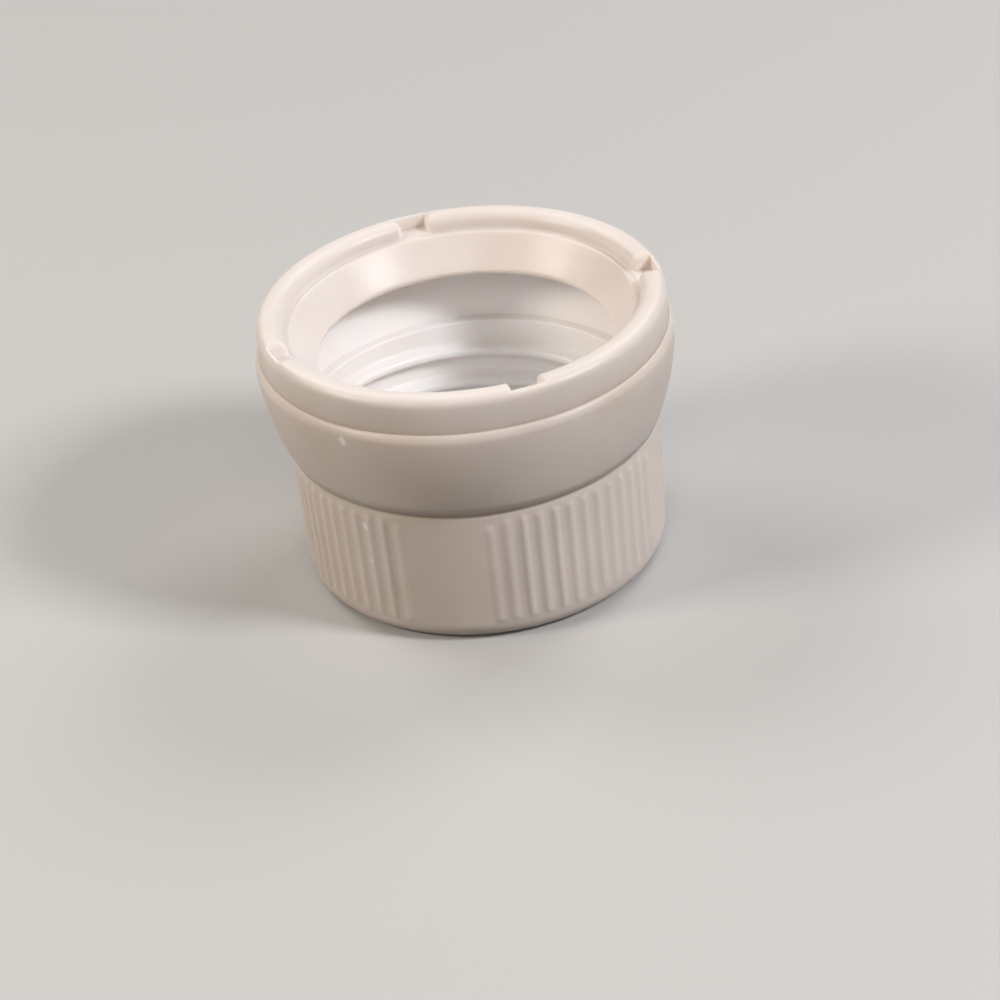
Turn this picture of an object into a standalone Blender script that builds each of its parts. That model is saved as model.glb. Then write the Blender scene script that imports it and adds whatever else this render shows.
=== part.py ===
"""Pilfer proof bottle cap, one plastic moulding, standing mouth up on its closed end.

The cap is turned about Z. From the floor up it has the closed end, a skirt with groups of
grip ribs outside and a thread inside, a scored line where the band tears off, a flared
band, and on its ledge the tamper ring. The ring's rim carries a flap that is folded in and
down, and four gaps divide the rim. Lengths are in metres and angles in degrees. Angles run
anticlockwise from +X, seen from the mouth.
"""

import math

import bmesh
import bpy
from mathutils import Matrix, Vector

MM = 0.001

# Closed end and skirt
SKIRT_RADIUS = 14.86 * MM  # outside, where the skirt meets the rounded corner
SKIRT_HEIGHT = 11.8 * MM  # from the closed end's face to the scored line
SKIRT_DRAFT = 0.9  # the skirt widens by this angle towards the mouth
SKIRT_WALL = 1.1 * MM
CORNER_ROUNDING = 1.65 * MM
END_THICKNESS = 1.4 * MM
FLOOR_FILLET = 0.8 * MM

# Sealing ring on the inside of the closed end
SEAL_INSET = 2.06 * MM  # from the bore in to the middle of the ring
SEAL_WIDTH = 1.0 * MM
SEAL_HEIGHT = 0.5 * MM

# Scored line where the band tears off
SCORE_WIDTH = 0.5 * MM
SCORE_DEPTH = 0.2 * MM

# Flared band, whose outside bulges like a bell
BAND_OFFSET = 0.24 * MM  # the band's foot stands proud of the skirt by this much
BAND_HEIGHT = 8.84 * MM  # from the scored line's lower edge to the ledge
BAND_REACH = 1.68 * MM  # from the band's foot out to its edge
BAND_BULGE = 0.33 * MM
BAND_WALL = 1.1 * MM
BAND_EDGE_ROUNDING = 1.2 * MM
STEP_RISE = 1.8 * MM  # the step inside lies this far above the scored line's lower edge
STEP_ROUNDING = 0.15 * MM

# Tamper ring
RING_SETBACK = 0.42 * MM  # from the band's outermost edge in to the ring's wall
RING_HEIGHT = 2.76 * MM
RING_WALL = 1.25 * MM
RIM_WIDTH = 2.05 * MM
RIM_OUTER_ROUNDING = 0.85 * MM
RIM_INNER_ROUNDING = 0.95 * MM

# Folded-in flap
HINGE_DEPTH = 1.4 * MM  # from the rim's top down to the shelf along the hinge
HINGE_FILLET = 0.25 * MM
HINGE_WEB = 0.5 * MM
SHELF_WIDTH = 0.55 * MM  # from the rim in to the flap's shoulder
SHOULDER_ROUNDING = 0.3 * MM
FLAP_LENGTH = 3.5 * MM
FLAP_SLOPE = 53.0  # below the horizontal, towards the axis
FLAP_THICKNESS = 0.7 * MM

# Gaps in the rim, cut from the inside so that a thin outer wall stays
GAP_TURNS = (-74.3, 7.5, 102.0, -159.5)  # angles of the gaps' middles
GAP_WIDTH = 2.3 * MM
GAP_FLARE = 0.5 * MM  # the gap's sides curve out by this much at the rim's top
GAP_SILL = 0.1 * MM  # what is left standing on the shelf in a gap
GAP_WALL = 0.5 * MM
GAP_DIP = 0.2 * MM  # how far that wall is lowered below the rim's top

# Thread
THREAD_PITCH = 3.0 * MM
THREAD_TURNS = 2.6
THREAD_TOP_TURN = 200.0  # angle of the upper end
THREAD_TOP_CLEARANCE = 0.35 * MM  # from the step inside down to the thread's upper end
THREAD_DEPTH = 0.95 * MM
THREAD_ROOT = 1.9 * MM
THREAD_CREST = 0.7 * MM
THREAD_RUN_OUT = 24.0

# Grip ribs
RIB_GROUPS = 4
RIBS_IN_GROUP = 13
RIB_PITCH = 5.1  # angle from one rib to the next
RIB_TURN = -58.8  # angle of the first group's middle
RIB_RADIUS = 0.6 * MM
RIB_RELIEF = 0.16 * MM
RIB_HEAD_MARGIN = 0.3 * MM  # below the scored line
END_RIB_MARGIN = 0.5 * MM  # a group's first and last rib stop this much lower

# Fineness of the facets
TURN_STEPS = 64
THREAD_STEPS = 36
RIB_SIDES = 12
RIB_RINGS = 5  # an odd number, so that no ring of points lies at a rod's middle
CHORD_ERROR = 0.04 * MM  # how far a facet of a rounded edge may lie inside its arc

# How far a cutter or an added form reaches past the surface that it meets
OVERLAP = 0.4 * MM

IVORY = (0.84, 0.76, 0.70, 1.0)


def arc(centre, radius, start, end):
    """Points on an arc from one angle to another, both ends included."""
    widest = 2 * math.degrees(math.acos(1 - CHORD_ERROR / radius))
    count = max(2, math.ceil(abs(end - start) / widest))
    angles = [math.radians(start + (end - start) * i / count) for i in range(count + 1)]
    return [(centre[0] + radius * math.cos(a), centre[1] + radius * math.sin(a)) for a in angles]


def skirt_radius(height):
    """Outside radius of the skirt at a height above the floor."""
    return SKIRT_RADIUS + (height - CORNER_ROUNDING) * math.tan(math.radians(SKIRT_DRAFT))


BORE_RADIUS = SKIRT_RADIUS - SKIRT_WALL
SEAL_RADIUS = BORE_RADIUS - SEAL_INSET
BAND_FOOT = SKIRT_HEIGHT + SCORE_WIDTH
STEP_HEIGHT = SKIRT_HEIGHT + STEP_RISE
LEDGE_HEIGHT = SKIRT_HEIGHT + BAND_HEIGHT
RIM_HEIGHT = LEDGE_HEIGHT + RING_HEIGHT
SHELF_HEIGHT = RIM_HEIGHT - HINGE_DEPTH

BAND_FOOT_POINT = Vector((skirt_radius(SKIRT_HEIGHT) + BAND_OFFSET, BAND_FOOT))
BAND_HEAD_POINT = Vector((BAND_FOOT_POINT.x + BAND_REACH, LEDGE_HEIGHT - BAND_EDGE_ROUNDING))
RING_RADIUS = BAND_HEAD_POINT.x - RING_SETBACK
RING_BORE = RING_RADIUS - RING_WALL
RIM_INNER_RADIUS = RING_RADIUS - RIM_WIDTH


def band_curve():
    """Centre and radius of the arc that bulges out between the band's foot and its edge."""
    chord = BAND_HEAD_POINT - BAND_FOOT_POINT
    radius = chord.length_squared / (8 * BAND_BULGE) + BAND_BULGE / 2
    inward = Vector((-chord.y, chord.x)).normalized()
    return (BAND_FOOT_POINT + BAND_HEAD_POINT) / 2 + inward * (radius - BAND_BULGE), radius


def band_arc(inset, start, end):
    """The band's curve, moved in by an inset, from one height to another."""
    centre, radius = band_curve()
    turns = [math.degrees(math.asin((height - centre.y) / (radius - inset))) for height in (start, end)]
    return arc(centre, radius - inset, turns[0], turns[1])


def floor_profile():
    """The inside of the closed end, from the axis out to the bore, with its sealing ring."""
    seal = [(SEAL_RADIUS + SEAL_WIDTH / 2 * math.cos(math.radians(a)),
             END_THICKNESS + SEAL_HEIGHT * math.sin(math.radians(a))) for a in (180, 120, 60, 0)]
    fillet = arc((BORE_RADIUS - FLOOR_FILLET, END_THICKNESS + FLOOR_FILLET), FLOOR_FILLET, -90, 0)
    return [(0.0, END_THICKNESS)] + seal + fillet


def chamber_profile():
    """The bore's upper end, the step, the band's inside and the slope in to the ring's bore."""
    step = arc((BORE_RADIUS + STEP_ROUNDING, STEP_HEIGHT - STEP_ROUNDING), STEP_ROUNDING, 180, 90)
    wall = band_arc(BAND_WALL, STEP_HEIGHT, LEDGE_HEIGHT - BAND_WALL)
    slope = abs(wall[-1][0] - RING_BORE)
    return step + wall + [(RING_BORE, wall[-1][1] + slope)]


def flap_profile():
    """The roof under the hinge, the flap's underside, lip and face, its shoulder and the shelf."""
    slope = math.radians(FLAP_SLOPE)
    along = Vector((-math.cos(slope), -math.sin(slope)))
    across = Vector((math.sin(slope), -math.cos(slope)))
    shoulder = Vector((RIM_INNER_RADIUS - SHELF_WIDTH, SHELF_HEIGHT))
    roof = SHELF_HEIGHT - HINGE_WEB
    under = shoulder + across * FLAP_THICKNESS
    root = under + along * ((under.y - roof) / math.sin(slope))
    centre = shoulder + along * (FLAP_LENGTH - FLAP_THICKNESS / 2) + across * (FLAP_THICKNESS / 2)
    turn = FLAP_SLOPE - 90
    lip = arc(centre, FLAP_THICKNESS / 2, turn, turn - 180)
    bend = SHOULDER_ROUNDING / math.tan(math.radians(90 - FLAP_SLOPE / 2))
    top = arc((shoulder.x + bend, SHELF_HEIGHT - SHOULDER_ROUNDING), SHOULDER_ROUNDING, 90 + FLAP_SLOPE, 90)
    corner = (RIM_INNER_RADIUS - HINGE_FILLET, SHELF_HEIGHT + HINGE_FILLET)
    return [(RING_BORE, roof), tuple(root)] + lip + top + arc(corner, HINGE_FILLET, -90, 0)


def rim_profile():
    """The rim's rounded top, from the inside to the outside."""
    inner = (RIM_INNER_RADIUS + RIM_INNER_ROUNDING, RIM_HEIGHT - RIM_INNER_ROUNDING)
    outer = (RING_RADIUS - RIM_OUTER_ROUNDING, RIM_HEIGHT - RIM_OUTER_ROUNDING)
    return arc(inner, RIM_INNER_ROUNDING, 180, 90) + arc(outer, RIM_OUTER_ROUNDING, 90, 0)


def outside_profile():
    """The band's edge and flare, the scored line, the skirt and the closed end's face.

    The ring's wall ends on the rounded edge, or on a flat ledge where it stands further back.
    """
    start = math.degrees(math.acos(max(0.0, 1 - RING_SETBACK / BAND_EDGE_ROUNDING)))
    edge = arc((BAND_HEAD_POINT.x - BAND_EDGE_ROUNDING, BAND_HEAD_POINT.y), BAND_EDGE_ROUNDING, start, 0)
    if RING_SETBACK > BAND_EDGE_ROUNDING:
        edge = [(RING_RADIUS, LEDGE_HEIGHT)] + edge
    band = band_arc(0.0, BAND_HEAD_POINT.y, BAND_FOOT)[1:]
    top = skirt_radius(SKIRT_HEIGHT)
    score = [(top - SCORE_DEPTH, BAND_FOOT - SCORE_WIDTH / 3),
             (top - SCORE_DEPTH, SKIRT_HEIGHT + SCORE_WIDTH / 3), (top, SKIRT_HEIGHT)]
    corner = arc((SKIRT_RADIUS - CORNER_ROUNDING, CORNER_ROUNDING), CORNER_ROUNDING, 0, -90)
    return edge + band + score + corner + [(0.0, 0.0)]


def add_object(name, mesh, collection):
    """Put a mesh into a collection as a named object."""
    item = bpy.data.objects.new(name, mesh)
    collection.objects.link(item)
    return item


def as_guide(item):
    """Show a cutter or an added form as wire only."""
    item.display_type = "WIRE"
    item.hide_render = True
    return item


def turned_body(name, collection):
    """The whole section turned about Z."""
    points = floor_profile() + chamber_profile() + flap_profile() + rim_profile() + outside_profile()
    mesh = bpy.data.meshes.new(name)
    edges = [(i, i + 1) for i in range(len(points) - 1)]
    mesh.from_pydata([(r, 0.0, z) for r, z in points], edges, [])
    body = add_object(name, mesh, collection)
    screw = body.modifiers.new("Turned section", "SCREW")
    screw.axis = "Z"
    screw.steps = TURN_STEPS
    screw.render_steps = TURN_STEPS
    screw.use_merge_vertices = True
    screw.merge_threshold = 0.00001
    screw.use_smooth_shade = True
    return body


def rib_angles():
    """Each rib's angle, and whether it is the first or last of its group."""
    middle = (RIBS_IN_GROUP - 1) / 2
    for group in range(RIB_GROUPS):
        for rib in range(RIBS_IN_GROUP):
            turn = RIB_TURN + group * 360 / RIB_GROUPS + (rib - middle) * RIB_PITCH
            yield turn, rib in (0, RIBS_IN_GROUP - 1)


def grip_ribs(name, collection):
    """All ribs as rods with round ends, sunk into the skirt so that only their relief shows."""
    mesh = bpy.data.meshes.new(name)
    shape = bmesh.new()
    foot = CORNER_ROUNDING + RIB_RADIUS
    lean = Matrix.Rotation(math.radians(SKIRT_DRAFT), 4, "Y")
    for turn, at_end in rib_angles():
        head = SKIRT_HEIGHT - RIB_HEAD_MARGIN - RIB_RADIUS - (END_RIB_MARGIN if at_end else 0.0)
        rod = bmesh.ops.create_uvsphere(shape, u_segments=RIB_SIDES, v_segments=RIB_RINGS,
                                        radius=RIB_RADIUS)["verts"]
        for vert in rod:
            if vert.co.z > 0.0:
                vert.co.z += head - foot
        place = Matrix.Translation((skirt_radius(foot) - RIB_RADIUS + RIB_RELIEF, 0.0, foot))
        bmesh.ops.transform(shape, matrix=Matrix.Rotation(math.radians(turn), 4, "Z") @ place @ lean,
                            verts=rod)
    shape.to_mesh(mesh)
    shape.free()
    return as_guide(add_object(name, mesh, collection))


def thread_section(turn, height, depth):
    """The four corners of the thread's section at one angle, from its root's foot to its head."""
    root = BORE_RADIUS + OVERLAP
    slant = (THREAD_ROOT - THREAD_CREST) / 2 / THREAD_DEPTH
    half_root = THREAD_ROOT / 2 + OVERLAP * slant
    half_crest = THREAD_CREST / 2 + (THREAD_DEPTH - depth) * slant
    corners = ((root, -half_root), (BORE_RADIUS - depth, -half_crest),
               (BORE_RADIUS - depth, half_crest), (root, half_root))
    angle = math.radians(turn)
    return [(r * math.cos(angle), r * math.sin(angle), height + z) for r, z in corners]


def thread_ridge(name, collection):
    """A right-hand ridge inside the bore, whose ends sink into the wall."""
    mesh = bpy.data.meshes.new(name)
    shape = bmesh.new()
    count = round(THREAD_TURNS * THREAD_STEPS)
    top = STEP_HEIGHT - THREAD_TOP_CLEARANCE - THREAD_ROOT / 2
    before = None
    for i in range(count + 1):
        back = 360 * THREAD_TURNS * i / count
        from_end = min(back, 360 * THREAD_TURNS - back)
        rise = min(1.0, from_end / THREAD_RUN_OUT)
        depth = (THREAD_DEPTH + OVERLAP / 2) * math.sin(rise * math.pi / 2) - OVERLAP / 2
        height = top - back / 360 * THREAD_PITCH
        section = [shape.verts.new(p) for p in thread_section(THREAD_TOP_TURN - back, height, depth)]
        if before:
            for j in range(4):
                k = (j + 1) % 4
                shape.faces.new((before[j], before[k], section[k], section[j]))
        else:
            shape.faces.new(section)
        before = section
    shape.faces.new(before[::-1])
    bmesh.ops.recalc_face_normals(shape, faces=shape.faces)
    shape.to_mesh(mesh)
    shape.free()
    return as_guide(add_object(name, mesh, collection))


def prism(shape, outline, near, far, turn):
    """Stretch an outline of (across, height) points along the radius from near to far."""
    corners = [shape.verts.new((near, across, height)) for across, height in outline]
    face = shape.faces.new(corners)
    moved = bmesh.ops.extrude_face_region(shape, geom=[face])["geom"]
    ends = [item for item in moved if isinstance(item, bmesh.types.BMVert)]
    bmesh.ops.translate(shape, verts=ends, vec=(far - near, 0.0, 0.0))
    bmesh.ops.rotate(shape, verts=corners + ends, matrix=Matrix.Rotation(math.radians(turn), 3, "Z"))


def gap_outline(bottom):
    """A slot's outline: straight sides that curve out where they reach the rim's top."""
    reach = GAP_WIDTH / 2 + GAP_FLARE
    side = [p for p in arc((reach, RIM_HEIGHT - GAP_FLARE), GAP_FLARE, 180, 90) if p[1] > bottom]
    right = [(GAP_WIDTH / 2, bottom)] + side + [(reach, RIM_HEIGHT + OVERLAP)]
    return right + [(-across, height) for across, height in reversed(right)]


def rim_gaps(name, collection, bottom, near, far):
    """One slot for each gap in the rim, from one radius to another."""
    mesh = bpy.data.meshes.new(name)
    shape = bmesh.new()
    for turn in GAP_TURNS:
        prism(shape, gap_outline(bottom), near, far, turn)
    bmesh.ops.recalc_face_normals(shape, faces=shape.faces)
    shape.to_mesh(mesh)
    shape.free()
    return as_guide(add_object(name, mesh, collection))


def combine(body, tool, operation):
    """Add a Boolean modifier."""
    step = body.modifiers.new(tool.name, "BOOLEAN")
    step.operation = operation
    step.solver = "EXACT"
    step.object = tool


def ivory_plastic(name):
    """Glossy ivory-white polyolefin."""
    material = bpy.data.materials.new(name)
    material.use_nodes = True
    surface = material.node_tree.nodes["Principled BSDF"]
    surface.inputs["Base Color"].default_value = IVORY
    surface.inputs["Roughness"].default_value = 0.28
    surface.inputs["Metallic"].default_value = 0.0
    material.diffuse_color = IVORY
    return material


def clear_scene():
    """Remove what the file holds at the start."""
    for item in list(bpy.data.objects):
        bpy.data.objects.remove(item, do_unlink=True)


def new_collection(name):
    """A collection in the scene."""
    collection = bpy.data.collections.new(name)
    bpy.context.scene.collection.children.link(collection)
    return collection


def main():
    """Build the cap."""
    clear_scene()
    cap = new_collection("pilfer_proof_cap")
    guides = new_collection("cutters_and_guides")

    body = turned_body("cap_body", cap)
    combine(body, grip_ribs("grip_ribs", guides), "UNION")
    combine(body, thread_ridge("thread_ridge", guides), "UNION")

    inside = RIM_INNER_RADIUS - SHELF_WIDTH
    pockets = rim_gaps("gap_pockets", guides, SHELF_HEIGHT + GAP_SILL, inside, RING_RADIUS - GAP_WALL)
    combine(body, pockets, "DIFFERENCE")
    dips = rim_gaps("gap_dips", guides, RIM_HEIGHT - GAP_DIP, inside, RING_RADIUS + OVERLAP)
    combine(body, dips, "DIFFERENCE")

    body.data.materials.append(ivory_plastic("ivory_plastic"))


main()
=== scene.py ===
# %% [markdown]
# # A pilfer proof bottle cap
# This lesson dresses one injection-moulded cap for a studio picture. The cap stands mouth up on
# its closed end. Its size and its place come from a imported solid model, the frame, which is
# loaded first and never moved. The lesson then works out a finer surface for the cap, gives it
# the look of moulded polyethylene, and sets the light and the camera.

# %% Load the frame
import math

import bpy
import numpy as np
from mathutils import Matrix, Vector


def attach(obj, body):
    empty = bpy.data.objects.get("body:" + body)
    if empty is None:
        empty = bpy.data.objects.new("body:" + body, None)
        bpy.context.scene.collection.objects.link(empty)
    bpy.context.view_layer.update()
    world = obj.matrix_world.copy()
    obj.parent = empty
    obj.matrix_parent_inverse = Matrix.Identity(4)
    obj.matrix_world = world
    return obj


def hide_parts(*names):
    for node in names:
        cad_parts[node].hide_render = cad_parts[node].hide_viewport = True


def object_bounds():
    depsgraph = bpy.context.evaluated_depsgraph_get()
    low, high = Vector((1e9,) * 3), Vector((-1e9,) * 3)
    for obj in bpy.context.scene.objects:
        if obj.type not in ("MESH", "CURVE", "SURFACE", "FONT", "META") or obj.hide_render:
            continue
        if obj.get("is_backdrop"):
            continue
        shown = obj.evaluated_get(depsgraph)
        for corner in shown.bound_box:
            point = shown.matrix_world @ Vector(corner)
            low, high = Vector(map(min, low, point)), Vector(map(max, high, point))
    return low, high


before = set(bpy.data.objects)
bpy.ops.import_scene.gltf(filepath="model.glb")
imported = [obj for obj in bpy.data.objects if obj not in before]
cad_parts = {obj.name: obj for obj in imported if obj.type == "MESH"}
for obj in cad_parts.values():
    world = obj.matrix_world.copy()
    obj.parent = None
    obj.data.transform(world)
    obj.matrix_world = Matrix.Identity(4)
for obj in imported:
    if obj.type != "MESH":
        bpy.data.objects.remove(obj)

frame_low, frame_high = [[float(v) for v in corner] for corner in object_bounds()]
print("frame box in mm:", [round(1000 * (h - l), 2) for l, h in zip(frame_low, frame_high)])

# %% [markdown]
# ## The camera
# A camera is a pinhole with an aim. The picture was taken from a little more than a hand's
# span away, from about a third of a right angle above the table, with the camera tilted a
# few degrees to one side. Aiming with angles around the object's axis keeps each of these
# facts as one number. A long lens keeps the ellipses of the rim and the base alike.

# %% Camera
CAMERA_DISTANCE = 0.26482  # metres, from the middle of the closed end
CAMERA_ELEVATION = 32.40  # degrees above the floor
CAMERA_ROLL = -7.057  # the camera leans by this many degrees
CAMERA_PAN = -0.2768  # degrees, turns the aim sideways
CAMERA_TILT = 0.7241  # degrees, lifts the aim from the closed end to the middle of the cap
LENS = 113.74  # millimetres, on a sensor 36 millimetres wide


def turned(vector, axis, degrees):
    """The vector turned about the axis by an angle."""
    return Matrix.Rotation(math.radians(degrees), 3, axis) @ vector


lift = math.radians(CAMERA_ELEVATION)
eye = Vector((0.0, -math.cos(lift), math.sin(lift))) * CAMERA_DISTANCE
forward = -eye.normalized()
right = Vector((1.0, 0.0, 0.0))
up = right.cross(forward)
forward, right = turned(forward, up, CAMERA_PAN), turned(right, up, CAMERA_PAN)
forward, up = turned(forward, right, CAMERA_TILT), turned(up, right, CAMERA_TILT)
right, up = turned(right, forward, -CAMERA_ROLL), turned(up, forward, -CAMERA_ROLL)
camera_data = bpy.data.cameras.new("camera")
camera_data.lens = LENS
camera_data.sensor_width = 36.0
camera_data.clip_start = 0.01
camera = bpy.data.objects.new("camera", camera_data)
bpy.context.scene.collection.objects.link(camera)
columns = zip(right, up, -forward, eye)
camera.matrix_world = Matrix([list(row) for row in columns] + [[0.0, 0.0, 0.0, 1.0]])
bpy.context.scene.camera = camera
print("camera at", [round(v, 4) for v in eye])

# %% [markdown]
# ## The cap's sizes
# The cap is one moulding, so one closed surface can stand for all of it. A lathe could turn most
# of it, and the thread, the ribs and the gaps would then be cut or added. A finer way is to work
# out the section once, turn it on a grid of angles, and let three small height functions push
# the grid in and out where the thread, the ribs and the gaps are. Lengths are in millimetres.

# %% Sizes of the moulding
SKIRT_RADIUS = 14.86
SKIRT_HEIGHT = 11.8
SKIRT_DRAFT = 0.9  # degrees by which the skirt widens towards the mouth
CORNER_ROUNDING = 1.65
BORE_RADIUS = 13.76
END_THICKNESS = 1.4
FLOOR_FILLET = 0.8
SEAL_RADIUS, SEAL_WIDTH, SEAL_HEIGHT = 11.7, 1.0, 0.5
SCORE_WIDTH, SCORE_DEPTH = 0.5, 0.2

BAND_HEIGHT = 8.84
BAND_OFFSET = 0.24
BAND_REACH = 1.68
BAND_BULGE = 0.33
BAND_WALL = 1.1
BAND_EDGE_ROUNDING = 1.2
STEP_RISE = 1.8

RING_SETBACK = 0.42
RING_HEIGHT = 2.76
RING_WALL = 1.25
RIM_WIDTH = 2.05
RIM_OUTER_ROUNDING = 0.85
RIM_INNER_ROUNDING = 0.95

HINGE_DEPTH = 1.4
HINGE_FILLET = 0.25
HINGE_WEB = 0.5
SHELF_WIDTH = 0.55
SHOULDER_ROUNDING = 0.3
FLAP_LENGTH = 3.5
FLAP_SLOPE = 53.0  # degrees below the horizontal
FLAP_THICKNESS = 0.7

# %% Heights and radii that follow
BAND_FOOT = SKIRT_HEIGHT + SCORE_WIDTH
STEP_HEIGHT = SKIRT_HEIGHT + STEP_RISE
LEDGE_HEIGHT = SKIRT_HEIGHT + BAND_HEIGHT
RIM_HEIGHT = LEDGE_HEIGHT + RING_HEIGHT
SHELF_HEIGHT = RIM_HEIGHT - HINGE_DEPTH


def skirt_radius(height):
    """Outside radius of the skirt: the radius at the corner, plus the height above the corner
    times the draft's tangent."""
    return SKIRT_RADIUS + (height - CORNER_ROUNDING) * math.tan(math.radians(SKIRT_DRAFT))


SKIRT_TOP = skirt_radius(SKIRT_HEIGHT)
BAND_START = np.array([SKIRT_TOP + BAND_OFFSET, BAND_FOOT])
BAND_END = np.array([BAND_START[0] + BAND_REACH, LEDGE_HEIGHT - BAND_EDGE_ROUNDING])
RING_RADIUS = BAND_END[0] - RING_SETBACK
RING_BORE = RING_RADIUS - RING_WALL
RIM_INNER = RING_RADIUS - RIM_WIDTH
print("rim height", round(RIM_HEIGHT, 2), "widest radius", round(BAND_END[0], 3))

# %% [markdown]
# ## The section
# The section runs from the axis out along the inside floor, up the bore, over the step and under
# the flap, round the flap's lip, over the rim and down the outside to the axis again. It is made
# of straight stretches and arcs. More points lie where the form turns fast. The real cap comes
# from a polished steel mould, so even its sharpest edges are rounded by about a tenth of a
# millimetre, and that thin line of light along each edge is what makes it look moulded.

# %% Arcs and lines
def arc(centre, radius, start, end, count):
    """Points on a circle: the centre plus the radius times the cosine and the sine of evenly
    spaced angles."""
    angles = np.radians(np.linspace(start, end, count))
    return np.stack([centre[0] + radius * np.cos(angles),
                     centre[1] + radius * np.sin(angles)], axis=1)


def line(start, end, count):
    """Points on a straight line: the start plus evenly spaced shares of the way to the end."""
    share = np.linspace(0.0, 1.0, count)[:, None]
    return np.asarray(start) * (1.0 - share) + np.asarray(end) * share


def band_arc(inset, low, high, count):
    """The band's bulging line, moved in by an inset. A chord and a bulge give its circle: the
    radius is the chord squared over eight bulges, plus half a bulge."""
    chord = BAND_END - BAND_START
    radius = chord @ chord / (8 * BAND_BULGE) + BAND_BULGE / 2
    inward = np.array([-chord[1], chord[0]]) / np.sqrt(chord @ chord)
    centre = (BAND_START + BAND_END) / 2 + inward * (radius - BAND_BULGE)
    turns = [math.degrees(math.asin((z - centre[1]) / (radius - inset))) for z in (low, high)]
    return arc(centre, radius - inset, turns[0], turns[1], count)


# %% Inside of the closed end, bore and step
EDGE = 0.12  # rounding of the mould's sharp edges
SEEN_FROM = 4.9  # height above which the thread is looked at, and its rows lie closer
SEAL_MARGIN = 0.1  # plain floor between the last point and the sealing ring
seal = arc((0.0, 0.0), 1.0, 180, 0, 9)
seal = seal * [SEAL_WIDTH / 2, SEAL_HEIGHT] + [SEAL_RADIUS, END_THICKNESS]
inside = [
    line((0.0, END_THICKNESS), (SEAL_RADIUS - SEAL_WIDTH / 2 - SEAL_MARGIN, END_THICKNESS), 5),
    seal,
    arc((BORE_RADIUS - FLOOR_FILLET, END_THICKNESS + FLOOR_FILLET), FLOOR_FILLET, -90, 0, 6),
    line((BORE_RADIUS, END_THICKNESS + FLOOR_FILLET), (BORE_RADIUS, SEEN_FROM), 10),
    line((BORE_RADIUS, SEEN_FROM), (BORE_RADIUS, STEP_HEIGHT - EDGE), 62),
    arc((BORE_RADIUS + EDGE, STEP_HEIGHT - EDGE), EDGE, 180, 90, 4),
]
print("points inside the bore:", sum(len(part) for part in inside))

# %% Chamber under the flap
# The chamber follows the band's line at one wall's thickness, then closes in at 45 degrees.
chamber = band_arc(BAND_WALL, STEP_HEIGHT + EDGE, LEDGE_HEIGHT - BAND_WALL, 7)
step_corner = (chamber[0][0] - EDGE, STEP_HEIGHT + EDGE)
closing = abs(chamber[-1][0] - RING_BORE)
roof = SHELF_HEIGHT - HINGE_WEB
inside += [
    arc(step_corner, EDGE, -90, 0, 3),
    chamber,
    line((RING_BORE, chamber[-1][1] + closing), (RING_BORE, roof - EDGE), 2),
    arc((RING_BORE - EDGE, roof - EDGE), EDGE, 0, 90, 3),
]
print("chamber: from", round(STEP_HEIGHT, 2), "to", round(roof, 2), "mm high")

# %% Folded-in flap
tilt = math.radians(FLAP_SLOPE)
along = np.array([-math.cos(tilt), -math.sin(tilt)])
across = np.array([math.sin(tilt), -math.cos(tilt)])
shoulder = np.array([RIM_INNER - SHELF_WIDTH, SHELF_HEIGHT])
under = shoulder + across * FLAP_THICKNESS
root = under + along * ((under[1] - roof) / math.sin(tilt))
lip_centre = shoulder + along * (FLAP_LENGTH - FLAP_THICKNESS / 2) + across * FLAP_THICKNESS / 2
lip = arc(lip_centre, FLAP_THICKNESS / 2, FLAP_SLOPE - 90, FLAP_SLOPE - 270, 9)
bend = SHOULDER_ROUNDING / math.tan(math.radians(90 - FLAP_SLOPE / 2))
bend_centre = (shoulder[0] + bend, SHELF_HEIGHT - SHOULDER_ROUNDING)
top = arc(bend_centre, SHOULDER_ROUNDING, 90 + FLAP_SLOPE, 90, 5)
inside += [line(root, lip[0], 4), lip, line(lip[-1], top[0], 6)[1:], top]
print("opening inside the flap in mm:", round(2 * float(lip[:, 0].min()), 1))

# %% Rim, with extra points where the gaps leave a thin outer wall
GAP_WALL = 0.5
WALL_ROWS = np.array([-0.2, -0.09, -0.05, 0.0, 0.05, 0.09, 0.16])  # out from the wall's inside
hinge = (RIM_INNER - HINGE_FILLET, SHELF_HEIGHT + HINGE_FILLET)
rim_in = (RIM_INNER + RIM_INNER_ROUNDING, RIM_HEIGHT - RIM_INNER_ROUNDING)
rim_out = (RING_RADIUS - RIM_OUTER_ROUNDING, RIM_HEIGHT - RIM_OUTER_ROUNDING)
wall_radii = RING_RADIUS - GAP_WALL + WALL_ROWS
wall_turns = np.degrees(np.arccos((wall_radii - rim_out[0]) / RIM_OUTER_ROUNDING))
rim_turns = np.concatenate([[90.0], wall_turns, np.linspace(wall_turns[-1], 0.0, 6)[1:]])
rim_arc = np.concatenate([arc(rim_out, RIM_OUTER_ROUNDING, t, t, 1) for t in rim_turns])
rim = [
    arc(hinge, HINGE_FILLET, -90, 0, 5),
    arc(rim_in, RIM_INNER_ROUNDING, 180, 90, 9),
    rim_arc,
]
print("points over the rim:", sum(len(part) for part in rim))

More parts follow.
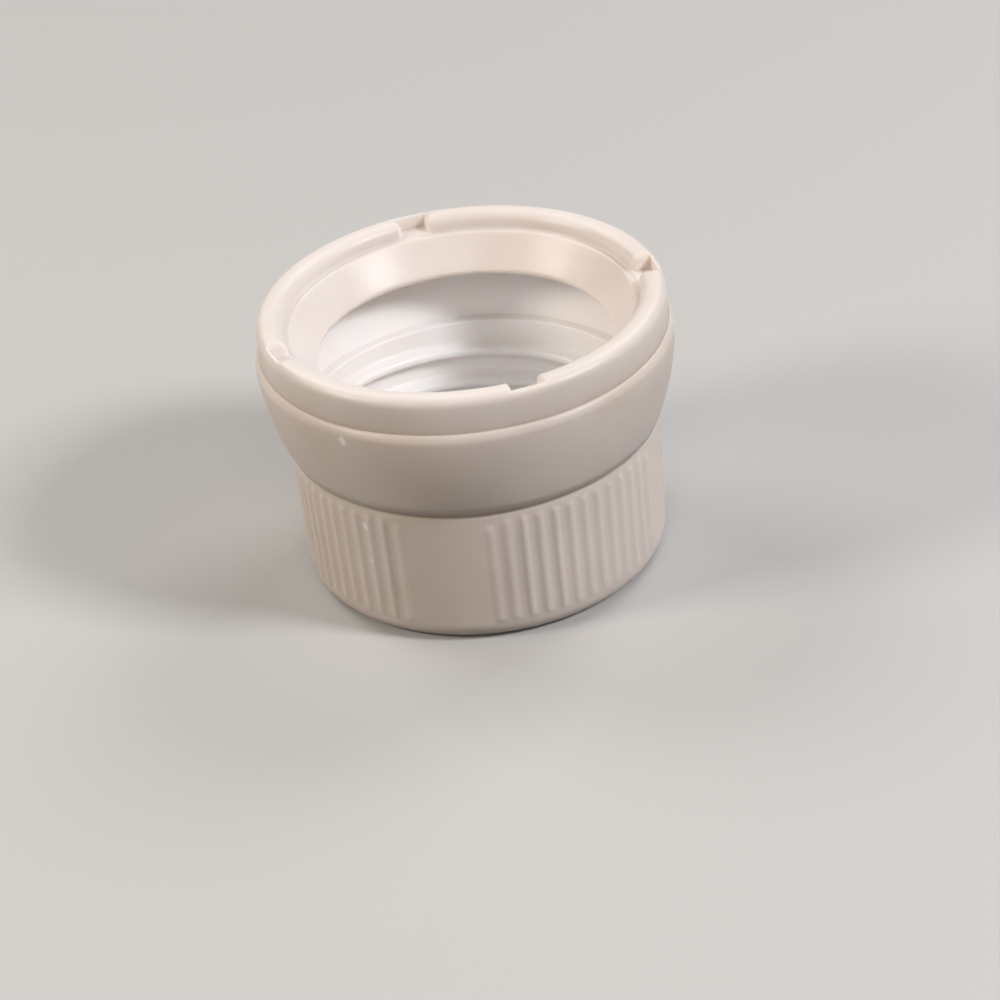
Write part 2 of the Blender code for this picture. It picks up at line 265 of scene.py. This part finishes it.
# %% Outside: ledge
# The ledge's edge is a soft chamfer: a quarter circle whose two sides are each raised to a power,
# which flattens its middle. That slanted strip is what catches the light all round the ledge.
FOOT_FILLET, CHAMFER_HEIGHT, CHAMFER_POWER = 0.08, 0.6, 1.45
RING_ROWS = (0.6, 0.25)  # two rows above the ledge, which keep the ring's shading level
edge_rise = BAND_EDGE_ROUNDING * math.sin(math.acos(1 - RING_SETBACK / BAND_EDGE_ROUNDING))
ledge_top = BAND_END[1] + edge_rise
ring_foot = arc((RING_RADIUS + FOOT_FILLET, ledge_top + FOOT_FILLET), FOOT_FILLET, 180, 270, 4)
ring_wall = line(*[(RING_RADIUS, ledge_top + rise) for rise in RING_ROWS], 2)
chamfer = np.clip(arc((0.0, 0.0), 1.0, 90, 0, 9), 0.0, 1.0) ** CHAMFER_POWER
chamfer = chamfer * [RING_SETBACK - FOOT_FILLET, CHAMFER_HEIGHT]
edge = chamfer + [RING_RADIUS + FOOT_FILLET, ledge_top - CHAMFER_HEIGHT]
print("ledge height in mm:", round(ledge_top, 2))

# %% Outside: scored line, skirt and closed end
GROOVE_POWER = 0.7  # below 1, so that the scored line's floor is broad
groove_share = np.linspace(0.0, 1.0, 7)
groove_z = BAND_FOOT - groove_share * SCORE_WIDTH
groove_r = BAND_START[0] * (1 - groove_share) + SKIRT_TOP * groove_share
groove_r = groove_r - SCORE_DEPTH * np.sin(np.pi * groove_share) ** GROOVE_POWER
groove = np.stack([groove_r, groove_z], axis=1)

# The skirt's rows lie close at the ribs' heads and feet, and far apart between them.
RIB_HEAD_MARGIN, END_RIB_MARGIN = 0.3, 0.5
HEAD_END, MIDDLE_START = 1.9, 3.0  # below the skirt's top
MIDDLE_END, FOOT_START, FOOT_END = 1.6, 0.8, 0.05  # above the rounded corner
head_zone = np.linspace(SKIRT_HEIGHT - RIB_HEAD_MARGIN, SKIRT_HEIGHT - HEAD_END, 11)
middle_zone = np.linspace(SKIRT_HEIGHT - MIDDLE_START, CORNER_ROUNDING + MIDDLE_END, 4)
foot_zone = np.linspace(CORNER_ROUNDING + FOOT_START, CORNER_ROUNDING + FOOT_END, 6)
skirt_z = np.concatenate([head_zone, middle_zone, foot_zone])
skirt = np.stack([skirt_radius(skirt_z), skirt_z], axis=1)
corner_centre = (SKIRT_RADIUS - CORNER_ROUNDING, CORNER_ROUNDING)
closed_corner = arc(corner_centre, CORNER_ROUNDING, 0, -90, 9)
closed_end = line((SKIRT_RADIUS - CORNER_ROUNDING, 0.0), (0.0, 0.0), 4)[1:]
band = band_arc(0.0, BAND_END[1], BAND_FOOT, 9)
outside = [ring_wall, ring_foot, edge, band, groove[1:], skirt, closed_corner, closed_end]
print("points down the outside:", sum(len(part) for part in outside))

# %% The whole section, without doubled points
section = np.concatenate(inside + rim + outside)
SAME_POINT = 1e-4
apart = np.linalg.norm(np.diff(section, axis=0), axis=1) > SAME_POINT
section = section[np.concatenate([[True], apart])]
print("section points:", len(section))

# %% [markdown]
# ## The angles
# The grid's columns are angles round the axis. Evenly spaced columns would waste points on the
# smooth panels and be too coarse at the ribs and the gaps, so each zone has its own spacing.

# %% Columns
RIB_GROUPS, RIBS_IN_GROUP, RIB_PITCH, RIB_TURN = 4, 13, 5.1, -58.8
GAP_TURNS = (-74.3, 7.5, 102.0, -159.5)
GAP_WIDTH, GAP_FLARE = 2.3, 0.5
RIM_MIDDLE = (RIM_INNER + RING_RADIUS) / 2
COLUMNS_PER_RIB, PANEL_SHARES = 7, 12
GAP_COLUMNS = np.array([-0.1, 0.12, 0.35, 0.7, 1.2, 1.9, 2.8])  # degrees out from a gap's side
CLOSEST = 0.05  # degrees; of two columns nearer than this, one is left out

half_group = (RIBS_IN_GROUP - 1) / 2 * RIB_PITCH + RIB_PITCH / 2
group_turns = RIB_TURN + np.arange(RIB_GROUPS) * 360.0 / RIB_GROUPS
in_group = np.arange(-half_group, half_group + 0.01, RIB_PITCH / COLUMNS_PER_RIB)
ribbed = np.concatenate([turn + in_group for turn in group_turns])
panel = 360.0 / RIB_GROUPS - 2 * half_group
in_panel = half_group + panel * np.arange(1, PANEL_SHARES) / PANEL_SHARES
smooth = np.concatenate([turn + in_panel for turn in group_turns])
beside_gap = math.degrees((GAP_WIDTH / 2) / RIM_MIDDLE) + GAP_COLUMNS
near_gap = np.concatenate([-beside_gap, beside_gap])
gaps = np.concatenate([turn + near_gap for turn in GAP_TURNS])
angles = np.sort(np.mod(np.concatenate([ribbed, smooth, gaps]), 360.0))
angles = angles[np.concatenate([[True], np.diff(angles) > CLOSEST])]
theta = np.radians(angles)[None, :]
print("columns:", len(angles), "triangles:", 2 * len(angles) * (len(section) - 2))

# %% [markdown]
# ## Thread, ribs and gaps
# A screw thread is a ridge whose middle drops by one pitch in each turn. Going round, the same
# angle meets the ridge once for each turn, so the height function takes the highest of them. The
# ridge fades out at both ends, as a mould's thread does. The grip ribs are rows of low round
# humps, and the gaps are slots cut down into the rim from inside, which leave a thin outer wall.

# %% Smooth steps
def ease(x):
    """From 0 to 1 with level ends: three x squared less two x cubed, with x kept between 0
    and 1."""
    x = np.clip(x, 0.0, 1.0)
    return x * x * (3.0 - 2.0 * x)


def soft_lower(a, b, width):
    """The lower of two heights, blended over a width: their mean less half the root of the squared
    difference plus the squared width."""
    return (a + b - np.sqrt((a - b) ** 2 + width ** 2)) / 2 + width / 2


# %% Thread
THREAD_PITCH, THREAD_TURNS, THREAD_TOP_TURN = 3.0, 2.6, 200.0
THREAD_DEPTH, THREAD_ROOT, THREAD_RUN_OUT = 0.95, 1.5, 24.0
THREAD_FLANK = 0.52  # height of each flank
THREAD_MARGIN = 0.9  # plain bore between the step and the thread's highest turn
THREAD_TOP = STEP_HEIGHT - THREAD_MARGIN - THREAD_ROOT / 2


def thread_height(height):
    """How far the thread stands out of the bore. Each turn's middle is at the top height less the
    angle gone back times the pitch. Each flank is a smooth step, with a narrow crest between."""
    gone_back = np.mod(THREAD_TOP_TURN - np.degrees(theta), 360.0)
    ridge = np.zeros((len(height), theta.shape[1]))
    for turn in range(math.ceil(THREAD_TURNS) + 1):
        back = gone_back + 360.0 * turn
        off = np.abs(height - (THREAD_TOP - back / 360.0 * THREAD_PITCH))
        flank = ease((THREAD_ROOT / 2 - off) / THREAD_FLANK)
        ends = ease(back / THREAD_RUN_OUT) * ease((360.0 * THREAD_TURNS - back) / THREAD_RUN_OUT)
        ridge = np.maximum(ridge, THREAD_DEPTH * flank * ends)
    return ridge


# %% Grip ribs
RIB_HALF_WIDTH, RIB_RELIEF, RIB_END = 0.5, 0.15, 0.45


def rib_height(height):
    """How far the ribs stand out of the skirt: across a rib a squared cosine, and at its ends a
    smooth rise. The first and the last rib of each group stop lower."""
    degrees = np.degrees(theta)
    relief = np.zeros((len(height), theta.shape[1]))
    foot = ease((height - CORNER_ROUNDING) / RIB_END)
    for middle in group_turns:
        off = np.mod(degrees - middle + 180.0, 360.0) - 180.0
        rib = np.clip(np.round(off / RIB_PITCH), -(RIBS_IN_GROUP // 2), RIBS_IN_GROUP // 2)
        aside = np.radians(off - rib * RIB_PITCH) * SKIRT_RADIUS
        hump = np.cos(np.clip(aside / RIB_HALF_WIDTH, -1.0, 1.0) * np.pi / 2) ** 2
        outer = np.abs(rib) == RIBS_IN_GROUP // 2
        head = SKIRT_HEIGHT - RIB_HEAD_MARGIN - np.where(outer, END_RIB_MARGIN, 0.0)
        relief = np.maximum(relief, RIB_RELIEF * hump * foot * ease((head - height) / RIB_END))
    return relief


# %% Gaps
GAP_SILL = 0.1  # the gap's floor lies this far above the shelf
GAP_DIP = 0.2  # the thin outer wall stands this far below the rim's top
WALL_STEP = 0.14  # along the radius, the rise to the outer wall takes this much
RIM_END_ROUNDING = 0.8  # where the rim stops at a gap, its top bends down in this radius
FULLY_OPEN = -1.0  # a height below the shelf
OUT_OF_REACH, CLEARING = 5.0, 4.0  # a height above the rim, and the slope that leads there


def gap_ceiling(radius):
    """The height above which a gap is open. Across a gap it is level, then rises as a quarter
    circle to the rim's top, and beyond that it clears the rim. Along the radius it steps up to the
    thin outer wall. The gap is wider on the inside, by a smaller quarter circle, so that the rim's
    ends are rounded all round."""
    ceiling = np.full((len(radius), theta.shape[1]), RIM_HEIGHT + OUT_OF_REACH)
    from_end = np.clip(GAP_FLARE - (radius - RIM_INNER), 0.0, GAP_FLARE)
    rounded = GAP_FLARE - np.sqrt(GAP_FLARE ** 2 - from_end ** 2)
    step = ease((radius - (RING_RADIUS - GAP_WALL) + WALL_STEP / 2) / WALL_STEP)
    low = SHELF_HEIGHT + GAP_SILL + (HINGE_DEPTH - GAP_SILL - GAP_DIP) * step
    for turn in GAP_TURNS:
        aside = np.abs(np.mod(np.degrees(theta) - turn + 180.0, 360.0) - 180.0)
        aside = np.radians(aside) * RIM_MIDDLE - GAP_WIDTH / 2 - rounded
        inward = np.clip(RIM_END_ROUNDING - aside, 0.0, RIM_END_ROUNDING)
        bend_down = RIM_HEIGHT - RIM_END_ROUNDING + np.sqrt(RIM_END_ROUNDING ** 2 - inward ** 2)
        clear = np.clip(aside - RIM_END_ROUNDING, 0.0, OUT_OF_REACH) * CLEARING
        side = np.where(aside < 0.0, FULLY_OPEN, bend_down) + clear
        ceiling = np.minimum(ceiling, np.maximum(side, low))
    return ceiling


# %% [markdown]
# ## The surface
# Now the section is turned. Each point of the grid has a radius and a height, and its place is
# the radius times the cosine and the sine of its angle. The two points on the axis close the
# floor and the closed end with fans of triangles, and the last column joins the first, so the
# skin has no seam. If the faces turn out to point inwards, their order is reversed. The sign of
# the enclosed volume tells which way they point.

# %% Turn the section
FLOOR_MARGIN, SHELF_MARGIN, NEAR = 0.2, 0.05, 0.01
GAP_EDGE = 0.05  # width over which the gap's upper edges are softened
radius = np.repeat(section[1:-1, :1], len(angles), axis=1)
height = np.repeat(section[1:-1, 1:], len(angles), axis=1)
rows = np.arange(len(radius))[:, None]
lip_row = int(np.argmin(np.linalg.norm(section[1:-1] - lip[4], axis=1)))
edge_row = int(np.argmin(np.linalg.norm(section[1:-1] - ring_foot[0], axis=1)))

above_floor = (height > END_THICKNESS + FLOOR_MARGIN) & (height < STEP_HEIGHT - EDGE / 2)
in_bore = (rows < lip_row) & above_floor & (radius < BORE_RADIUS + NEAR)
on_skirt = (rows > edge_row) & (height < SKIRT_HEIGHT)
on_rim = (rows > lip_row) & (rows < edge_row) & (height > SHELF_HEIGHT - SHELF_MARGIN)

thread = np.where(in_bore, thread_height(height[:, :1]), 0.0)
ribs = np.where(on_skirt, rib_height(height[:, :1]), 0.0)
cut = soft_lower(height, gap_ceiling(radius[:, :1]), GAP_EDGE)
radius = radius - thread + ribs
height = np.where(on_rim, np.minimum(height, cut), height)
print("grid:", radius.shape, "thread and ribs stand out by",
      round(float(thread.max()), 2), round(float(ribs.max()), 2))

# %% Make the mesh
def closed_turning(name, radius, height, theta, first, last):
    """A closed mesh from a grid of radii and heights. Neighbouring rows and columns make quads, and
    the two axis points make fans. Lengths go from millimetres to metres."""
    rows, columns = radius.shape
    grid = np.stack([radius * np.cos(theta), radius * np.sin(theta), height], axis=2).reshape(-1, 3)
    points = np.concatenate([grid, [[0.0, 0.0, first], [0.0, 0.0, last]]]) / 1000.0
    number = np.arange(rows * columns).reshape(rows, columns)
    ahead = np.roll(number, -1, axis=1)
    quads = np.stack([number[:-1], ahead[:-1], ahead[1:], number[1:]], axis=2).reshape(-1, 4)
    start_fan = np.stack([ahead[0], number[0], np.full(columns, rows * columns)], axis=1)
    end_fan = np.stack([number[-1], ahead[-1], np.full(columns, rows * columns + 1)], axis=1)
    p, q, r = (points[quads[:, i]] for i in (0, 1, 2))
    if (np.cross(q - p, r - p) * p).sum() < 0.0:
        quads, start_fan, end_fan = quads[:, ::-1], start_fan[:, ::-1], end_fan[:, ::-1]
    corners = np.concatenate([quads.ravel(), start_fan.ravel(), end_fan.ravel()])
    sizes = np.concatenate([np.full(len(quads), 4), np.full(len(start_fan) + len(end_fan), 3)])
    mesh = bpy.data.meshes.new(name)
    mesh.vertices.add(len(points))
    mesh.vertices.foreach_set("co", points.ravel())
    mesh.loops.add(len(corners))
    mesh.loops.foreach_set("vertex_index", corners)
    mesh.polygons.add(len(sizes))
    mesh.polygons.foreach_set("loop_start", np.concatenate([[0], np.cumsum(sizes)[:-1]]))
    mesh.polygons.foreach_set("use_smooth", np.ones(len(sizes), bool))
    mesh.update(calc_edges=True)
    mesh.validate()
    piece = bpy.data.objects.new(name, mesh)
    bpy.context.scene.collection.objects.link(piece)
    return piece


cap = closed_turning("cap_moulding", radius, height, theta, section[0, 1], section[-1, 1])
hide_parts("cap_body")
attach(cap, "root")
print("cap:", len(cap.data.vertices), "points,", len(cap.data.polygons), "faces")

# %% [markdown]
# ## Rubbed places and painted shade
# Handling dulls the high places first: the tops of the ribs, the rim's crest, the band's edge and
# the corner of the closed end. The outside is painted a little darker and warmer than the inside,
# as painted shade, and the two creases, at the ring's foot and in the scored line, get painted
# shade too.
# The grid knows where all these are, so three numbers from 0 to 1 are kept on every point of the
# mesh, and the material reads them by name.

# %% Rubbed places, and the outside's painted shade
RIB_RUB = 0.8
CREST_REACH, LEDGE_REACH, CORNER_REACH = 0.35, 0.25, 0.5  # millimetres
CORNER_MIDDLE = CORNER_ROUNDING * 0.3  # in from both sides, where the rounded corner stands out
RING_SHADE = 0.65  # the rim and the flap get only part of the outside's painted shade
rub = np.clip(ribs / RIB_RELIEF, 0.0, 1.0) * RIB_RUB
crest = np.exp(-((height - RIM_HEIGHT) / CREST_REACH) ** 2) * on_rim
ledge = np.exp(-((radius - BAND_END[0]) / LEDGE_REACH) ** 2) * (rows > lip_row)
bottom = np.exp(-((radius + CORNER_MIDDLE - SKIRT_RADIUS) / CORNER_REACH) ** 2
                - ((height - CORNER_MIDDLE) / CORNER_REACH) ** 2)
rub = np.clip(np.maximum.reduce([rub, crest, ledge, bottom]), 0.0, 1.0)
# Painted shade: all of it on the outside below the ring, part on the rim and the flap, none inside;
# down the ring's wall it grows towards the foot.
outside_shade = np.where(rows > edge_row, 1.0, np.where(rows > lip_row, RING_SHADE, 0.0))
on_ring = (rows > lip_row) & (rows <= edge_row) & (radius > RING_RADIUS - RIM_OUTER_ROUNDING)
down_ring = ease((RIM_HEIGHT - height) / RING_HEIGHT)
outside_shade = np.where(on_ring, RING_SHADE + (1.0 - RING_SHADE) * down_ring, outside_shade)
print("rubbed points:", int((rub > 0.5).sum()))

# %% Painted shade in the creases
CREASE_SHADE_REACH = 0.35  # millimetres from the middle of the crease at the ring's foot
SCORE_SHADE_REACH = 0.9 * SCORE_WIDTH  # the same for the scored line
# Painted shade: both creases are darkened, fading out over these reaches.
from_foot = np.hypot(radius - RING_RADIUS, height - ledge_top) / CREASE_SHADE_REACH
from_foot = np.where(radius < RING_RADIUS + FOOT_FILLET, from_foot, 1.0)
from_score = np.abs(height - SKIRT_HEIGHT - SCORE_WIDTH / 2) / SCORE_SHADE_REACH
crease_shade = np.clip(1.0 - np.minimum(from_foot, from_score), 0.0, 1.0)
crease_shade = np.where(rows > lip_row, crease_shade, 0.0)
print("dusty points:", int((crease_shade > 0.5).sum()))


# %% Keep them on the mesh
def keep_on_points(name, values, first, last):
    """Store one number for each point of the mesh: the grid's, then the two axis points'."""
    layer = cap.data.attributes.new(name, "FLOAT", "POINT")
    every = np.concatenate([values.ravel(), [first, last]])
    layer.data.foreach_set("value", every.astype(np.float32))


keep_on_points("rubbed", rub, 0.0, 0.0)
keep_on_points("outside_shade", outside_shade, 0.0, 1.0)
keep_on_points("crease_shade", crease_shade, 0.0, 0.0)
print("kept on the mesh: rubbed, handled, crease")

# %% [markdown]
# ## Moulded polyethylene
# The cap is high-density polyethylene coloured ivory and injection moulded. The steel of the mould
# was polished, so the skin is glossy with broad soft highlights, and the plastic lets a little
# light in, which softens its shadows and warms them. The index of refraction of polyethylene is
# about 1.54. Shrinkage leaves slow waves of a few millimetres in the skin, and the steel leaves a
# grain finer than half a millimetre, drawn a little coarser here so that it shows.

# %% Colour and node helpers
def linear(code):
    """An sRGB hex colour as linear values with an alpha of 1: each is divided by 12.92 when dark,
    and else raised to a power of 2.4."""
    parts = [int(code[i:i + 2], 16) / 255 for i in (0, 2, 4)]
    return [v / 12.92 if v <= 0.04045 else ((v + 0.055) / 1.055) ** 2.4 for v in parts] + [1.0]


def add_node(tree, kind, feeds, **settings):
    """Add a node. Settings are its properties. Feeds give each input a value or another output."""
    item = tree.nodes.new(kind)
    for name, value in settings.items():
        setattr(item, name, value)
    for name, value in feeds.items():
        if isinstance(value, bpy.types.NodeSocket):
            tree.links.new(value, item.inputs[name])
        else:
            item.inputs[name].default_value = value
    return item


# %% Noise and stored numbers that the plastic reads
WAVE, CLOUD, GRAIN, WOBBLE = 7.0, 14.0, 0.45, 0.6  # millimetres across one blot of each noise
plastic = bpy.data.materials.new("moulded_ivory_polyethylene")
plastic.use_nodes = True
tree = plastic.node_tree
shader = tree.nodes["Principled BSDF"]
place = add_node(tree, "ShaderNodeTexCoord", {}).outputs["Object"]
waves = add_node(tree, "ShaderNodeTexNoise", {
    "Vector": place, "Scale": 1000 / WAVE, "Detail": 2.0})
grain = add_node(tree, "ShaderNodeTexNoise", {
    "Vector": place, "Scale": 1000 / GRAIN, "Detail": 3.0})
cloud = add_node(tree, "ShaderNodeTexNoise", {
    "Vector": place, "Scale": 1000 / CLOUD, "Detail": 3.0})
rubbed_share, outside_shade_share, crease_shade_share = [
    add_node(tree, "ShaderNodeAttribute", {}, attribute_name=name).outputs["Fac"]
    for name in ("rubbed", "outside_shade", "crease_shade")]
print("noise sizes in mm:", WAVE, CLOUD, GRAIN)

# %% Ivory polyethylene
INSIDE_LIT, INSIDE_LIT_CLOUD = "FAF6F5", "F6F0ED"  # the inside, painted paler as painted light
SHADED_IVORY, SHADED_IVORY_CLOUD = "E2D6CD", "DACCC0"  # the outside, painted a little darker and warmer as painted shade
# Painted shade: the creases are mixed towards a darker brown by their stored share.
CREASE_SHADE, CREASE_SHADE_SHARE = "A8907A", 0.45
patchy = add_node(tree, "ShaderNodeMapRange", {
    "Value": cloud.outputs["Fac"], "From Min": 0.36, "From Max": 0.62}).outputs["Result"]
lit_inside = add_node(tree, "ShaderNodeMix", {
    "Factor": patchy, "A": linear(INSIDE_LIT_CLOUD), "B": linear(INSIDE_LIT)}, data_type="RGBA")
ivory = add_node(tree, "ShaderNodeMix", {
    "Factor": patchy, "A": linear(SHADED_IVORY_CLOUD), "B": linear(SHADED_IVORY)}, data_type="RGBA")
# Painted shade: by the stored share, the inside's paler colour turns into the outside's darker one.
colour = add_node(tree, "ShaderNodeMix", {
    "Factor": outside_shade_share, "A": lit_inside.outputs["Result"], "B": ivory.outputs["Result"]},
    data_type="RGBA")
# Painted shade in the creases.
crease_darkening = add_node(tree, "ShaderNodeMath", {0: crease_shade_share, 1: CREASE_SHADE_SHARE}, operation="MULTIPLY")
crease_shaded = add_node(tree, "ShaderNodeMix", {
    "Factor": crease_darkening.outputs[0], "A": colour.outputs["Result"], "B": linear(CREASE_SHADE)},
    data_type="RGBA")
print("ivory:", SHADED_IVORY)

# %% Painted glints
# Three small spots are painted near white as painted highlights, and each raises a low bump. Each
# is a spot round a place on the skin, given in millimetres, and noise makes its outline uneven. The
# noise lies about one half, so it moves each place by half its strength, which is given back.
GLINT_SPOTS = [
    ((-10.35, -13.37, 19.25), 0.55),
    ((-9.54, -11.57, 10.2), 0.55),
    ((-9.46, -11.57, 7.0), 0.4),
]
GLINT_WHITE, GLINT_WOBBLE = "FFFCF8", 0.0004
wobble = add_node(tree, "ShaderNodeTexNoise", {
    "Vector": place, "Scale": 1000 / WOBBLE, "Detail": 1.0})
uneven = add_node(tree, "ShaderNodeVectorMath", {
    0: wobble.outputs["Color"], 1: (GLINT_WOBBLE, GLINT_WOBBLE, GLINT_WOBBLE), 2: place},
    operation="MULTIPLY_ADD").outputs["Vector"]
glint_mask = None
for middle, reach in GLINT_SPOTS:
    middle = [v / 1000 + GLINT_WOBBLE / 2 for v in middle]
    away = add_node(tree, "ShaderNodeVectorMath", {0: uneven, 1: middle}, operation="DISTANCE")
    spot = add_node(tree, "ShaderNodeMapRange", {
        "Value": away.outputs["Value"], "From Min": reach / 1000, "From Max": 0.0},
        interpolation_type="SMOOTHSTEP").outputs["Result"]
    if glint_mask is None:
        glint_mask = spot
    else:
        both = add_node(tree, "ShaderNodeMath", {0: glint_mask, 1: spot}, operation="MAXIMUM")
        glint_mask = both.outputs[0]
# Painted highlight: the spots' base colour is mixed to near white.
glinted = add_node(tree, "ShaderNodeMix", {
    "Factor": glint_mask, "A": crease_shaded.outputs["Result"], "B": linear(GLINT_WHITE)}, data_type="RGBA")
tree.links.new(glinted.outputs["Result"], shader.inputs["Base Color"])
print("nicks:", len(GLINT_SPOTS))

# %% Gloss, grain and slow waves
# The eye reads the gloss from how sharp each highlight is. Grain breaks it up a little, and the
# rubbed places are duller. Three bumps follow each other: waves, grain and the spots' raised bumps.
gloss = add_node(tree, "ShaderNodeMapRange", {
    "Value": grain.outputs["Fac"], "From Min": 0.2, "From Max": 0.8,
    "To Min": 0.37, "To Max": 0.45}).outputs["Result"]
dull = add_node(tree, "ShaderNodeMath", {0: rubbed_share, 1: 0.06}, operation="MULTIPLY")
rough = add_node(tree, "ShaderNodeMath", {0: gloss, 1: dull.outputs[0]}, operation="ADD")
tree.links.new(rough.outputs[0], shader.inputs["Roughness"])
slow = add_node(tree, "ShaderNodeBump", {
    "Height": waves.outputs["Fac"], "Strength": 0.25, "Distance": 0.0004})
fine = add_node(tree, "ShaderNodeBump", {
    "Height": grain.outputs["Fac"], "Strength": 0.1, "Distance": 0.000008,
    "Normal": slow.outputs["Normal"]})
burr = add_node(tree, "ShaderNodeBump", {
    "Height": glint_mask, "Strength": 1.0, "Distance": 0.00004, "Normal": fine.outputs["Normal"]})
tree.links.new(burr.outputs["Normal"], shader.inputs["Normal"])

# %% Light inside the plastic
LIGHT_PATH = 0.0007  # metres that red light travels under the skin, less for green and blue
shader.inputs["IOR"].default_value = 1.54
shader.inputs["Metallic"].default_value = 0.0
shader.inputs["Subsurface Weight"].default_value = 0.9
shader.inputs["Subsurface Radius"].default_value = (1.0, 0.85, 0.75)
shader.inputs["Subsurface Scale"].default_value = LIGHT_PATH
cap.data.materials.append(plastic)
print("materials:", [m.name for m in cap.data.materials])

# %% [markdown]
# ## Table, lamps and surroundings
# The cap is shown on a plain pale table. One small lamp on the right and one on the left light
# its sides and reach down into the bore, where each leaves a bright patch on the far wall and the
# thread. A wide lamp above the camera is weaker, so the side nearest to the camera stays in soft
# shade. Two more behind the cap light the rim and shine through the thin flap. The table looks
# pale to the camera and in reflections, but throws back only part of its light, so that it
# doesn't fill the shade under the band.

# %% Table
TABLE_SEEN, TABLE_BOUNCE = "C4C2BF", "6E6B67"
TABLE_HALF = 4.0  # metres
near, far = -TABLE_HALF, TABLE_HALF
table_mesh = bpy.data.meshes.new("table")
table_corners = [(near, near, 0), (far, near, 0), (far, far, 0), (near, far, 0)]
table_mesh.from_pydata(table_corners, [], [(0, 1, 2, 3)])
table = bpy.data.objects.new("table", table_mesh)
bpy.context.scene.collection.objects.link(table)
table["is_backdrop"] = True
print("table:", 2 * TABLE_HALF, "metres wide")

# %% Table paint
finish = bpy.data.materials.new("pale_table_paint")
finish.use_nodes = True
nodes = finish.node_tree
paint_shader = nodes.nodes["Principled BSDF"]
rays = add_node(nodes, "ShaderNodeLightPath", {})
seen = rays.outputs["Is Camera Ray"]
for kind in ("Is Glossy Ray", "Is Transmission Ray"):
    seen = add_node(nodes, "ShaderNodeMath", {0: seen, 1: rays.outputs[kind]}, operation="MAXIMUM")
    seen = seen.outputs[0]
paint = add_node(nodes, "ShaderNodeMix", {
    "Factor": seen, "A": linear(TABLE_BOUNCE), "B": linear(TABLE_SEEN)}, data_type="RGBA")
nodes.links.new(paint.outputs["Result"], paint_shader.inputs["Base Color"])
paint_shader.inputs["Roughness"].default_value = 0.6
table_mesh.materials.append(finish)
print("table colour:", TABLE_SEEN)

# %% Lamps
LAMP_DISTANCE = 0.7  # metres from the cap
LAMPS = [  # name, angle round the axis, angle above the table, size in metres, watts, colour
    ("front", 0, 45, 0.30, 0.8, "FFF8F0"),
    ("right", 62, 39, 0.14, 3.25, "F8FAFF"),
    ("left", -78, 33, 0.18, 2.15, "FFF6EA"),
    ("right_back", 135, 45, 0.30, 1.45, "FFFFFF"),
    ("left_back", -135, 45, 0.30, 1.4, "FFFFFF"),
]


def lamp(name, azimuth, elevation, size, power, colour):
    """A square lamp aimed at the cap. Its place is the distance along a direction given by an
    angle round the axis, from the camera's side towards the right, and one above the table."""
    turn, climb = math.radians(azimuth), math.radians(elevation)
    level = math.cos(climb)
    out = Vector((math.sin(turn) * level, -math.cos(turn) * level, math.sin(climb)))
    data = bpy.data.lights.new(name, "AREA")
    data.size = size
    data.energy = power
    data.color = linear(colour)[:3]
    light = bpy.data.objects.new(name, data)
    aim = out.to_track_quat("Z", "Y").to_matrix().to_4x4()
    light.matrix_world = Matrix.Translation(out * LAMP_DISTANCE) @ aim
    bpy.context.scene.collection.objects.link(light)


for row in LAMPS:
    lamp(*row)
print("lamps:", [row[0] for row in LAMPS])

# %% Surroundings
SKY_SEEN, SKY_LIGHT = "E2E1DE", "3C3C3E"
world = bpy.data.worlds.new("surroundings")
bpy.context.scene.world = world
world.use_nodes = True
sky = world.node_tree
rays = add_node(sky, "ShaderNodeLightPath", {})
tone = add_node(sky, "ShaderNodeMix", {
    "Factor": rays.outputs["Is Camera Ray"], "A": linear(SKY_LIGHT), "B": linear(SKY_SEEN)},
    data_type="RGBA")
sky.links.new(tone.outputs["Result"], sky.nodes["Background"].inputs["Color"])
sky.nodes["Background"].inputs["Strength"].default_value = 1.0
bpy.context.scene.view_settings.view_transform = "Standard"
print("surroundings:", SKY_SEEN)

# %% [markdown]
# ## Measure and finish
# The box of what is shown is measured again, and its largest difference from the frame's box is
# printed, in millimetres.

# %% Sizes
seen_low, seen_high = [[float(v) for v in corner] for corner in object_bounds()]
apart = [abs(a - b) for a, b in zip(frame_low + frame_high, seen_low + seen_high)]
print("largest difference in mm:", round(1000 * max(apart), 3))
